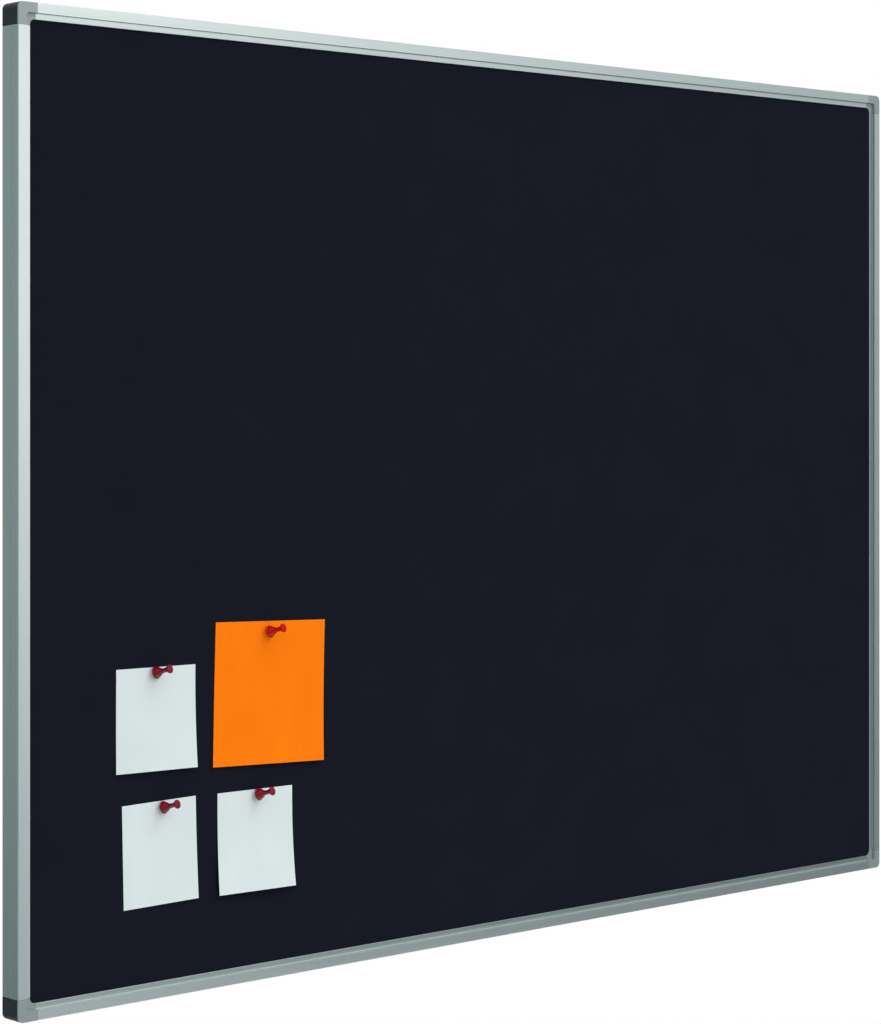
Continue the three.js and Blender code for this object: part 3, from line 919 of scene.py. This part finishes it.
def note_sheet(note):
    """A note about its pin's spot: it hangs from there, its lower edge standing off the board."""
    width, height = note["width"], note["height"]
    across = (note["across_share"] - 0.5) * width
    up = (0.5 - note["drop_share"]) * height
    sheet = added(
        bpy.ops.mesh.primitive_plane_add, size=1, rotation=(math.radians(90), 0, 0),
        scale=(width, height, 1),
    )
    with editing(sheet):
        bpy.ops.mesh.select_all(action="SELECT")
        bpy.ops.mesh.subdivide(number_cuts=NOTE_CUTS)
    for vertex in sheet.data.vertices:
        right_share = vertex.co.x / width + 0.5
        fall = max(0, (up - vertex.co.z) / (up + height / 2))
        lift = note["lift"] * (note["left_lift_share"] + (1 - note["left_lift_share"]) * right_share)
        vertex.co.y -= lift * fall * fall
    modified(sheet, "SOLIDIFY", thickness=PAPER_THICKNESS, offset=0)
    sheet.data.transform(Matrix.Translation((-across, 0, -up)))
    return smoothed(sheet)


def pin_head():
    """The head along +Z, drawn up ring by ring from its collar, with the mark of the mould's gate."""
    rings = [(radius * MM, height * MM) for radius, height in HEAD_RINGS]
    head = added(
        bpy.ops.mesh.primitive_circle_add, vertices=ROUND_SIDES, radius=rings[0][0], fill_type="NGON",
    )
    with editing(head):
        bpy.ops.mesh.select_all(action="SELECT")
        for (radius, height), (next_radius, next_height) in zip(rings, rings[1:]):
            pull(z=next_height - height)
            share = next_radius / radius
            bpy.ops.transform.resize(value=(share, share, 1), center_override=(0, 0, next_height))
        bpy.ops.mesh.inset(thickness=GATE_DEPTH)
        pull(z=-GATE_DEPTH)
        outwards()
    modified(head, "SUBSURF", levels=1, render_levels=1)
    return smoothed(head, HEAD_SMOOTH_ANGLE)


def pin_needle():
    """The needle along +Z, its point towards -Z, with the note's plane at the origin."""
    needle = added(
        bpy.ops.mesh.primitive_circle_add, vertices=NEEDLE_SIDES, radius=NEEDLE_RADIUS,
        fill_type="NGON", location=(0, 0, NEEDLE_TOP),
    )
    share = NEEDLE_TIP_SHARE
    with editing(needle):
        bpy.ops.mesh.select_all(action="SELECT")
        pull(z=NEEDLE_POINT - NEEDLE_REACH - NEEDLE_TOP)
        pull(z=-NEEDLE_POINT)
        bpy.ops.transform.resize(value=(share, share, 1), center_override=(0, 0, -NEEDLE_REACH))
        outwards()
    return smoothed(needle)


def make_notes_and_pins():
    white = paper("white_paper", (0.65, 0.715, 0.725), (0.70, 0.765, 0.775))
    orange = paper("orange_paper", (0.94, 0.19, 0.001), (1.0, 0.21, 0.002))
    crimson = red_plastic("crimson_plastic", (0.155, 0.0005, 0.012), (0.235, 0.0009, 0.02), 0.5)
    scarlet = red_plastic("scarlet_plastic", (0.42, 0.001, 0.0005), (0.56, 0.0016, 0.001), 0.3)
    steel = needle_steel()
    head = pin_head()
    needle = pin_needle()
    upright = Vector((0, 0, 1))
    for place, note in NOTES.items():
        pivot = Vector(joints[f"note_{place}_swing"]["pos_m"])
        axis = Vector(joints[f"pin_{place}_pull"]["axis"]).normalized()
        turned = upright.rotation_difference(axis).to_matrix().to_4x4()
        lean = math.acos(-axis.y)
        low, high = (Vector(corner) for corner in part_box(f"note_{place}"))
        note_node = (high.y - pivot.y) * 2
        collar = (note_node / 2 + COLLAR_ROOM + HEAD_RADIUS * math.sin(lean)) / math.cos(lean)

        sheet = note_sheet(note)
        hung = Matrix.Rotation(math.radians(-note["turn"]), 4, "Y")
        sheet.data.transform(Matrix.Translation(pivot) @ hung)
        orange_note = place == "upper_right"
        dressed(
            sheet, f"note_{place}", f"sheet_{place}",
            orange if orange_note else white,
        )
        to_pin = Matrix.Translation(pivot) @ turned
        raised = to_pin @ Matrix.Translation((0, 0, collar))
        dressed(
            copied(head, raised), f"pin_head_{place}", f"pin_{place}",
            scarlet if orange_note else crimson,
        )
        dressed(copied(needle, to_pin), f"pin_needle_{place}", f"pin_{place}", steel)
    bpy.data.objects.remove(head, do_unlink=True)
    bpy.data.objects.remove(needle, do_unlink=True)


# Connector screws


def connector_screw():
    """A countersunk screw along Z, the top of its head at the origin, with a cross recess."""
    screw = added(
        bpy.ops.mesh.primitive_circle_add, vertices=ROUND_SIDES, radius=SCREW_HEAD_RADIUS,
        fill_type="NGON",
    )
    pitch = (SCREW_LENGTH - SCREW_HEAD_HEIGHT) / (SCREW_THREADS + 1)
    with editing(screw):
        bpy.ops.mesh.select_all(action="SELECT")
        pull(z=-SCREW_HEAD_HEIGHT)
        share = SCREW_CORE / SCREW_HEAD_RADIUS
        bpy.ops.transform.resize(value=(share, share, 1), center_override=(0, 0, 0))
        for _ in range(SCREW_THREADS):
            for share in (SCREW_SHANK / SCREW_CORE, SCREW_CORE / SCREW_SHANK):
                pull(z=-pitch / 2)
                bpy.ops.transform.resize(value=(share, share, 1), center_override=(0, 0, 0))
        pull(z=-pitch)
        share = SCREW_TIP_SHARE
        bpy.ops.transform.resize(value=(share, share, 1), center_override=(0, 0, 0))
        outwards()
    half = RECESS_WIDTH / 2
    for turn in RECESS_TURNS:
        slot = block((-RECESS_SPAN, -half, -RECESS_DEPTH), (RECESS_SPAN, half, RECESS_DEPTH))
        slot.data.transform(Matrix.Rotation(math.radians(turn), 4, "Z"))
        combined("DIFFERENCE", screw, slot)
    return smoothed(screw)


def make_screws():
    zinc = zinc_screw()
    screw = connector_screw()
    backwards = Matrix.Rotation(math.radians(-90), 4, "X")
    nodes = [f"screw_{side}_{end}" for side in ("bottom", "left", "top", "right") for end in "ab"]
    for node, spot in zip(nodes, node_places(nodes)):
        dressed(copied(screw, Matrix.Translation(spot) @ backwards), node, "board", zinc)
    bpy.data.objects.remove(screw, do_unlink=True)


# Studio: floor, world, lamps and camera

FLOOR_DROP = 1.35
FLOOR_SPAN = 2.6
FLOOR_COLOUR = (0.86, 0.86, 0.86)
FLOOR_ROUGHNESS = 0.9
# Distances from the board's middle at which the floor starts and ends turning white
FLOOR_WHITE_FROM = 1.45
FLOOR_WHITE_AT = 1.85
EYE = Vector((-1.9945, -2.0933, 0.1088))
EYE_TURN = math.radians(-42.54)
LENS = 98.70
SENSOR = 36
FRAME_DROP = -0.1207
SURROUND = (0.36, 0.40, 0.41)
# Each glow's direction, sharpness and colour. The fill from above and in front is light only, and
# isn't mirrored
SOFTBOX = ((0.497, -0.861, 0.108), 120, (2.05, 1.90, 1.86))
FRONT_FILL = ((0, -0.6, 0.8), 4, (1.72, 1.72, 1.71))
# Cards, darker than what they hang before: each one's direction, the cosines where its soft edge
# starts and ends, and its colour. The camera's card and the low card are only mirrored
RIGHT_CARD = ((0.825, -0.417, -0.381), 0.815, 1.0, (0.01, 0.02, 0.02))
CAMERA_CARD = ((-0.64, -0.68, -0.35), 0.76, 0.97, (0.17, 0.19, 0.20))
LOW_CARD = ((0.49, -0.54, -0.68), 0.88, 0.98, (0.06, 0.07, 0.075))
LEFT_CARD = ((-0.60, 0.80, 0), 0.68, 0.86, (0.25, 0.29, 0.295))
LEFT_LOW_CARD = ((-0.50, 0.65, -0.57), 0.866, 0.966, (0.02, 0.03, 0.035))
# Where the white backdrop starts and reaches its full strength, as the share of a direction that
# points backwards
BACKDROP_FROM = 0.05
BACKDROP_FULL = 0.5
KEY_PLACE = Vector((0.8, -2.0, 2.5))
KEY_SIZE = 1.2
KEY_POWER = 18


def make_camera():
    lens = bpy.data.cameras.new("camera")
    lens.lens = LENS
    lens.sensor_width = SENSOR
    lens.shift_y = FRAME_DROP
    camera = bpy.data.objects.new("camera", lens)
    camera.location = EYE
    camera.rotation_euler = (math.radians(90), 0, EYE_TURN)
    bpy.context.collection.objects.link(camera)
    bpy.context.scene.camera = camera
    bpy.context.scene.view_settings.view_transform = "Standard"


def make_floor():
    """A pale floor well below the board that turns as white as the backdrop farther off."""
    floor = added(bpy.ops.mesh.primitive_plane_add, size=FLOOR_SPAN, location=(0, 0, -FLOOR_DROP))
    floor.name = "floor"
    finish = new_finish("pale_floor")
    here = finish.node("ShaderNodeTexCoord", output="Object")
    reach = finish.node("ShaderNodeVectorMath", {"operation": "LENGTH"}, {0: here}, output="Value")
    far = finish.between(reach, FLOOR_WHITE_FROM, FLOOR_WHITE_AT)
    pale = finish.principled(Base_Color=(*FLOOR_COLOUR, 1), Roughness=FLOOR_ROUGHNESS)
    white = finish.node("ShaderNodeEmission", {}, {"Color": (1, 1, 1, 1), "Strength": 1.0})
    share = far * finish.path("Is Camera Ray")
    mixed = finish.node("ShaderNodeMixShader", {}, {0: share, 1: pale, 2: white})
    floor.data.materials.append(finish.surface(mixed))


def make_world():
    """White behind the board. In front a grey room with a softbox and cards for the metal to mirror."""
    world = bpy.data.worlds.new("studio")
    bpy.context.scene.world = world
    finish = Finish(world)
    direction = finish.node("ShaderNodeTexCoord", output="Generated")
    mirrored = finish.path("Is Glossy Ray")

    def facing(towards):
        return finish.node(
            "ShaderNodeVectorMath", {"operation": "DOT_PRODUCT"}, {0: direction, 1: towards},
            output="Value",
        )

    def with_glow(light, towards, sharpness, colour, share=1):
        return finish.colours((facing(towards) * 0.5 + 0.5) ** sharpness * share, light, colour)

    def with_card(light, towards, outer, inner, colour, share=1):
        return finish.colours(finish.between(facing(towards), outer, inner) * share, light, colour)

    light = with_glow(SURROUND, *SOFTBOX)
    light = with_card(light, *RIGHT_CARD)
    light = with_card(light, *CAMERA_CARD, share=mirrored)
    light = with_card(light, *LOW_CARD, share=mirrored)
    light = with_glow(light, *FRONT_FILL, share=1 - mirrored)
    backdrop = finish.between(facing((0, 1, 0)), BACKDROP_FROM, BACKDROP_FULL)
    light = finish.colours(backdrop * mirrored, light, (1, 1, 1))
    for card in (LEFT_CARD, LEFT_LOW_CARD):
        light = with_card(light, *card)
    seen = finish.path("Is Camera Ray") + finish.path("Is Transmission Ray")
    shown = finish.colours(seen, light, (1, 1, 1))
    finish.surface(finish.node("ShaderNodeBackground", {}, {"Color": shown, "Strength": 1.0}))


def make_lamps():
    lamp = bpy.data.lights.new("key", "AREA")
    lamp.shape = "SQUARE"
    lamp.size = KEY_SIZE
    lamp.energy = KEY_POWER
    key = bpy.data.objects.new("key", lamp)
    key.location = KEY_PLACE
    key.rotation_euler = (-KEY_PLACE).to_track_quat("-Z", "Y").to_euler()
    key.visible_camera = False
    bpy.context.collection.objects.link(key)


make_camera()
make_floor()
make_world()
make_lamps()
make_rails()
make_corners()
make_felt()
refinish("core_board", fibre_core())
refinish("back_sheet", galvanised_steel())
make_notes_and_pins()
make_screws()
